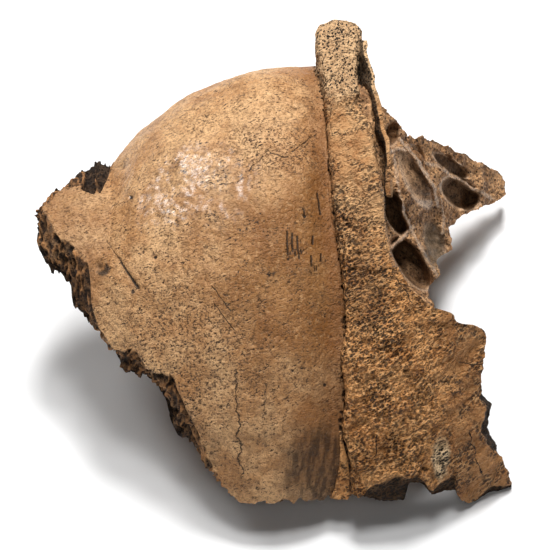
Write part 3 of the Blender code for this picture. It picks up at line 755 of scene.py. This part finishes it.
# (u, v) in mm of its lower edge: the crust ends higher than the dark sponge below it
PLATE_CRUST_LOW = ((75, -226), (88, -224), (101, -211), (123, -201), (149, -207), (160, -219),
                   (172, -209), (183, -206), (187, -226), (206, -236), (223, -220), (247, -216))
PLATE_LOW_SPONGE = ((75, -229), (92, -233), (103, -236), (131, -236), (136, -220), (150, -220),
                    (162, -229), (186, -229), (190, -238), (196, -245), (212, -247), (222, -243),
                    (240, -243), (247, -236))
# (v, mm) by which the crust also falls short of the right edge
PLATE_CRUST_SHORT = ((-226, 0), (-196, 0), (-180, 7), (-160, 8), (-140, 8), (-128, 6), (-118, 0))
FURROW_AT = Vector((0.183, -0.098, 0))
FURROW_DEEP = 0.005
FURROW_WIDE = 0.016
FURROW_REACH = 0.034


def plate_swell(at):
    """The plate's broad swells, and the shallow furrow that runs up across it."""
    away = at - FURROW_AT
    furrow = math.exp(-((away.x - away.y) / FURROW_WIDE) ** 2 - (away.x / FURROW_REACH) ** 2)
    return rough(at, 0.035, PLATE_SWELL) - FURROW_DEEP * furrow


def plate_place(across, along, depth):
    """The plate, which takes up the crest's foot at its top and ends in two ragged edges."""
    v = between(PLATE_LOW_V, PLATE_TOP_V, along)
    left = through(SEAM, vault_angle(PLATE_U, v)) * MM + GAP / 2
    ragged = crumbly(Vector((0.2, v, depth)), 0.014, PLATE_RAGGED)
    short = 0 if depth else metres(PLATE_CRUST_SHORT, v)
    u = between(left, metres(PLATE_RIGHT, v) - short + ragged, across)
    ragged = crumbly(Vector((u, 0.2, depth)), 0.014, PLATE_RAGGED)
    low = metres(PLATE_LOW_SPONGE if depth else PLATE_CRUST_LOW, u)
    v += (low - PLATE_LOW_V + ragged) * (1 - along) ** 5
    angle = min(vault_angle(u, v), CREST_FOOT) if along < 1 else CREST_FOOT - 0.05
    swell = plate_swell(band(u, angle, 0)) * ease(0, 0.15, across) * ease(0, 0.15, 1 - along)
    if depth:
        return band(u, angle, PLATE_THICK - swell)
    sink = 0.6 * CREST_ROUND * rounding(across, 0.07) - swell
    return band(u, angle, sink, through(CREST_LIFT, angle) * MM)


# (u, v, radius, depth) in mm of the holes and dents in the plate
PLATE_DENTS = ((152, -197, 3.0, 4.0), (134, -103, 5, 2.6), (131, -97, 3, 2.6), (170, -176, 6, 2.8),
               (167, -190, 6, 3.2), (162, -204, 5, 2.6), (92, -150, 5, 2.2), (112, -176, 6, 2.0),
               (203, -204, 3, 1.6), (96, -52, 4, 2.0))


def plate_relief(at, depth):
    """Furrows and pits drawn out up to the right, and single holes and dents."""
    along, aside = 0.82 * at.x + 0.57 * at.y, 0.57 * at.x - 0.82 * at.y
    furrowed = Vector((along / 0.024, aside / 0.006, at.z / 0.02))
    pits = cells(Vector((along / 1.6, aside, at.z)), 0.0042, 0.05)
    coarse = ease(0.215, 0.120, at.x) * (0.55 + 0.45 * ease(-0.3, 0.3, rough(at, 0.03, 1)))
    push = 0.0012 * noise.noise(furrowed) + crumbly(at, 0.012, 0.0014)
    push -= (0.0003 + 0.0011 * coarse) * pits
    # shade is painted into the pits and onto the plate's rim and underside
    hollow = 0.30 * pits * coarse + 0.8 * ease(0.02, 0.3, depth) * ease(0.080, 0.090, at.x)
    if not depth:
        for u, v, radius, deep in PLATE_DENTS:
            dent = pocket(at, u, v, radius)
            push -= deep * MM * dent
            hollow += dent * deep / radius
    return push, hollow, coarse


plate = wear(shell(165, 215, 6, plate_place), plate_relief)
finished("occipital_plate_bone", plate, rough_bone, ["occipital_plate"])


# ---------- the seam's splinter and the thin lamina
# Two slivers of dense bone: a pointed splinter that lies on the wall's edge at the foot of the
# seam, and a thin bent wall of bone that stands free to the right of the crest's knob.
SPLINT_RISE = 0.0045
SPLINT_V = (-0.2270, -0.158)
SPLINT_LEFT = 0.058
SPLINT_POINT = 0.002
SPLINT_CLEAR = 0.0008
LAMINA_THICK = 0.005
LAMINA_DEEP = 0.034
LAMINA_TUCK = 0.010
# (v, u, w) in mm of its free edge
LAMINA_LINE = ((80, 114, -42), (115, 113, -46), (154, 108, -58), (190, 101, -74), (224, 94, -90),
               (246, 92, -112))


def splint_place(across, along, depth):
    """The splinter, which comes to a point at its top end."""
    v = between(*SPLINT_V, along)
    angle = vault_angle(SEAM_U, v)
    right = through(SEAM, angle) * MM - SPLINT_CLEAR
    left = between(SPLINT_LEFT, right - SPLINT_POINT, along)
    rise = 0 if depth else SPLINT_RISE * between(0.4, 1, across) * between(1, 0.4, along)
    return vault(between(left, right, across), angle, -GAP - rise)


def limit(stations, v):
    """The (u, w) in metres of an edge given as (v, u, w) stations in mm."""
    return [metres([(s[0], s[k]) for s in stations], v) for k in (1, 2)]


def lamina_place(across, along, depth):
    """The lamina, which turns in behind the knob with its depth."""
    v = between(LAMINA_LINE[0][0], LAMINA_LINE[-1][0], along) * MM
    u, w = limit(LAMINA_LINE, v)
    tuck = LAMINA_TUCK * across * ease(0.120, 0.190, v)
    at = Vector((u + (1 - depth) * LAMINA_THICK - tuck, v, w - LAMINA_DEEP * across))
    return at + Vector((rough(at, 0.02, 0.004), 0, rough(at.yzx, 0.02, 0.006)))


def sliver_relief(at, depth):
    """Faint pits in dense bone."""
    pits = cells(at, 0.0035)
    return crumbly(at, 0.008, 0.0008) - 0.0003 * pits, 0.15 * pits, 0.1


def dense(bm):
    """Without the dark sponge that the broken rim of a thick bone shows; only the inner face keeps
    its depth, so the rough finish paints it in shade beyond the seam.
    """
    depth_of = bm.verts.layers.float["depth"]
    for vert in bm.verts:
        vert[depth_of] = 1.0 if vert[depth_of] == 1 else 0.0
    return bm


splint = wear(dense(shell(14, 50, 4, splint_place)), sliver_relief)
finished("seam_splint_bone", splint, rough_bone, ["seam_splint"])
lamina = wear(dense(shell(30, 120, 5, lamina_place)), sliver_relief)
finished("crest_lamina_bone", lamina, rough_bone, ["crest_lamina"])


# ---------- the cellular bone behind
# What held the outer bones apart: a mass of air cells with thin partitions, broken open on
# every side. It is darker and duller than the outer bone; light is painted on the partitions'
# edges and the shallow cells' floors, and shade into the deeper cells.
CORE_FACE = 0.0027

cellular_bone = Finish("cellular_bone")
hollows = cellular_bone.attribute("hollow")
lit = cellular_bone.attribute("coarse")
cloud = cellular_bone.grain(0.024, 5)
speck = cellular_bone.grain(0.0016, 3)
grit = cellular_bone.grain(0.0042, 4)
fibre = cellular_bone.grain(0.0030, 3, cellular_bone.streaked(5, -35))
holes = cellular_bone.pores(0.0034, 0.6, 0.42)
cellular_bone.colour = cellular_bone.mix(cellular_bone.step(cloud, 0.38, 0.62),
                                         tone(152, 108, 70), tone(226, 172, 120))
cellular_bone.lay(lit * 0.85, (224, 188, 154))
cellular_bone.lay(cellular_bone.step(grit, 0.50, 0.62) * 0.55, (62, 42, 26))
cellular_bone.lay(cellular_bone.step(grit, 0.46, 0.33) * 0.55, (224, 184, 138))
cellular_bone.lay(cellular_bone.step(fibre, 0.54, 0.63) * 0.50, (64, 44, 29))
cellular_bone.lay(cellular_bone.step(speck, 0.53, 0.62) * 0.5, (56, 38, 24))
cellular_bone.lay(holes * (1 - lit) * 0.80, (20, 14, 9))
# painted shade in the open cells, deepest in the deepest
cellular_bone.lay(cellular_bone.step(hollows, 0.1, 0.9) * 0.66, (66, 47, 31))
cellular_bone.lay(cellular_bone.blot((168, 31), (18, 34), 0.006) * 0.7, (82, 72, 56))
height = 1 - speck * 0.4 - grit * 1.0 - fibre * 0.4 - holes * (1 - lit) * 0.8
cellular_bone.close(0.52 + speck * 0.2, height, 0.0024, lit * 0.5)


def fine_copy(node, voxel, smoothing):
    """A CAD node's shape as an even mesh of small faces, in the face's frame."""
    bm = bmesh.new()
    bm.from_mesh(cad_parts[node].data)
    bmesh.ops.remove_doubles(bm, verts=bm.verts[:], dist=1e-5)
    mesh = bpy.data.meshes.new("draft")
    bm.to_mesh(mesh)
    draft = bpy.data.objects.new("draft", mesh)
    scene.collection.objects.link(draft)
    remesh = draft.modifiers.new("remesh", "REMESH")
    remesh.mode = "VOXEL"
    remesh.voxel_size = voxel
    smooth = draft.modifiers.new("smooth", "SMOOTH")
    smooth.iterations = smoothing
    bpy.context.view_layer.update()
    evaluated = draft.evaluated_get(bpy.context.evaluated_depsgraph_get())
    bm.clear()
    bm.from_mesh(evaluated.to_mesh())
    bpy.data.objects.remove(draft)
    bm.transform(FACE.inverted())
    return bm


def core_relief(at, depth):
    """Open cells in three sizes, with thin walls between them."""
    wide = cells(at, 0.017, 0.05, 0.25)
    middle = cells(at, 0.0075, 0.05)
    small = cells(at, 0.0036)
    push = 0.0036 + crumbly(at, 0.02, 0.003) - 0.0065 * wide - 0.0022 * middle - 0.0008 * small
    # the second value is where shade is painted: the cells
    return push, 0.5 * wide + 0.3 * middle + 0.2 * small, 0.0


core = wear(fine_copy("diploe_core", CORE_FACE, 3), core_relief)
finished("diploe_core_bone", core, cellular_bone, ["diploe_core"])


# ---------- the large cells and the wedge beside the crest
# Right of the crest the cellular bone is broken so far back that its large air cells lie
# open: smooth-walled spoons and holes with thin ragged rims. A tongue of it tapers away behind.
CELLS_DEEP = (0.078, 0.057)
CELLS_CROWN = 0.010
CELLS_LEAN = 0.016
# (v, u, w) in mm of the mass's left and right edges
CELLS_LEFT = ((-36, 120, -40), (20, 96, -42), (80, 88, -48), (156, 80, -66), (206, 80, -94))
CELLS_RIGHT = ((-36, 166, -62), (-16, 159, -88), (-2, 171, -104), (14, 171, -122),
               (29, 188, -162), (56, 184, -168), (80, 176, -142), (96, 171, -132),
               (118, 159, -126), (142, 140, -120), (156, 132, -110))
# each open cell's middle (u, v), half length and half width in mm, its turn in degrees, its
# depth in mm, and how gently its sides slope, from 0 to 1
CELLS = (((122, 147), (17, 10), 75, 20, 0.7),
         ((148, 100), (42, 18), -62, 15, 1.0),
         ((125, 64), (27, 12), -68, 44, 0.5),
         ((141, 12), (36, 16), -56, 46, 0.6),
         ((170, 34), (30, 14), -66, 10, 0.9))
# thin walls between the cells: points (u, v), half width in mm and height in mm
CELL_WALLS = ((((120, 28), (132, 38), (143, 50)), 2.0, 1.0),
              (((124, 124), (127, 92), (133, 66), (142, 46), (152, 30), (163, 10), (171, -4)),
               1.6, 1.5),
              (((131, 141), (150, 118), (166, 93), (172, 74)), 1.8, 2.5),
              (((176, 84), (180, 66), (178, 44)), 1.5, 1.5),
              (((112, 122), (126, 132), (136, 130)), 1.6, 1.0))
# (u, v) in mm of the wedge's upper and lower edges, and (u, w) in metres of its two ends
WEDGE_TOP = ((134, 147), (160, 146), (179, 141), (216, 127), (241, 116), (256, 106), (261, 98))
WEDGE_LOW = ((134, 26), (188, 50), (216, 66), (236, 72), (254, 80), (261, 88))
WEDGE_ROOT = (0.134, -0.146)
WEDGE_TIP = (0.261, -0.316)
WEDGE_DEEP = (0.060, 0.024)
WEDGE_CROWN = 0.010
WEDGE_TILT = 0.006
WEDGE_CELLS = (((150, 136), (7, 4), -30, 8, 0.6),
               ((156, 127), (9, 5), -60, 14, 0.6),
               ((192, 120), (28, 9), -30, 18, 0.5),
               ((204, 90), (29, 19), -24, 30, 0.6))
WEDGE_WALLS = ((((160, 120), (178, 118), (196, 107), (216, 97), (244, 86)), 1.8, 2.0),)
SLOPE_SHARE = 0.7  # how much of its half width the gentlest slope takes up


def laid_open(place, opened):
    """How deep, in metres, the large cells that are laid open reach at a place on the face."""
    deepest = 0.0
    for middle, (long, wide), lie, depth, slope in opened:
        away = Matrix.Rotation(math.radians(-lie), 2) @ (place.xy / MM - Vector(middle))
        far = math.hypot(away.x / long, away.y / wide)
        deepest = max(deepest, depth * MM * (1 - ease(1 - SLOPE_SHARE * slope, 1, far)))
    return deepest


def standing(place, walls):
    """How much of a thin wall stands at a place, from 0 to 1, and how high it rises there."""
    best, rise = 0.0, 0.0
    here = Vector((place.x / MM + 1.5 * noise.noise(place / 0.008), place.y / MM))
    for points, half, height in walls:
        for start, end in zip(points, points[1:]):
            run = Vector(end) - Vector(start)
            share = max(0.0, min(1.0, (here - Vector(start)).dot(run) / run.length_squared))
            wall = ease(half * 1.8, half * 0.6, (here - Vector(start) - run * share).length)
            if wall > best:
                best, rise = wall, height * MM
    return best, rise


def opened_up(at, opened, walls):
    """The place, let down into the open cells but for the walls between them."""
    wall, rise = standing(at, walls)
    return at + Vector((0, 0, rise * wall - laid_open(at, opened) * (1 - wall)))


def cells_place(across, along, depth):
    """The mass beside the crest, with its cells laid open."""
    top = between(CELLS_LEFT[-1][0], CELLS_RIGHT[-1][0], across)
    v = between(CELLS_LEFT[0][0], top, along) * MM
    (left_u, left_w), (right_u, right_w) = limit(CELLS_LEFT, v), limit(CELLS_RIGHT, v)
    right_u += crumbly(Vector((0, v, depth)), 0.012, 0.003)
    at = Vector((between(left_u, right_u, across), v, between(left_w, right_w, across)))
    at.z += CELLS_CROWN * math.sin(math.pi * across) + rough(at, 0.03, 0.012)
    if depth:
        return at - Vector((CELLS_LEAN * across, 0, between(*CELLS_DEEP, across)))
    return opened_up(at, CELLS, CELL_WALLS)


def opened_relief(opened, walls):
    """Ragged walls and rims, and the smooth, faintly streaked insides of the open cells."""
    def relief(at, depth):
        wall = standing(at, walls)[0]
        inside = ease(0.001, 0.006, laid_open(at, opened)) * (1 - wall)
        # painted shade deepens with a cell's depth, and painted light goes on the shallow floors
        # and the walls
        dark = ease(0.003, 0.022, laid_open(at, opened)) * (1 - wall)
        pits = cells(at, 0.0045, 0.06)
        push = crumbly(at, 0.009, 0.0016) * (1 - 0.7 * inside) + rough(at, 0.004, 0.0005)
        push -= 0.0008 * pits * (1 - inside)
        return push, dark + 0.4 * pits * (1 - inside), inside * (1 - dark) + 0.75 * wall
    return relief


mass = wear(shell(115, 190, 8, cells_place), opened_relief(CELLS, CELL_WALLS))
finished("diploe_cells_bone", mass, cellular_bone, ["diploe_cells"])


def wedge_place(across, along, depth):
    """The tongue of cellular bone, tapering to its tip and narrower behind."""
    u = between(WEDGE_ROOT[0], WEDGE_TIP[0], across)
    low, high = metres(WEDGE_LOW, u), metres(WEDGE_TOP, u)
    w = between(WEDGE_ROOT[1], WEDGE_TIP[1], across)
    at = Vector((u, between(low, high, along), w))
    at.z += WEDGE_CROWN * (1 - across) * math.sin(math.pi * along)
    at.y += WEDGE_TILT * across
    if depth:
        at.z -= between(*WEDGE_DEEP, across)
        at.y = between(at.y, between(low, high, 0.5), 0.3)
    else:
        at = opened_up(at, WEDGE_CELLS, WEDGE_WALLS)
    return at + Vector((0, rough(at, 0.015, 0.004), rough(at.yzx, 0.02, 0.006)))


wedge = wear(shell(140, 110, 8, wedge_place), opened_relief(WEDGE_CELLS, WEDGE_WALLS))
finished("diploe_wedge_bone", wedge, cellular_bone, ["diploe_wedge"])
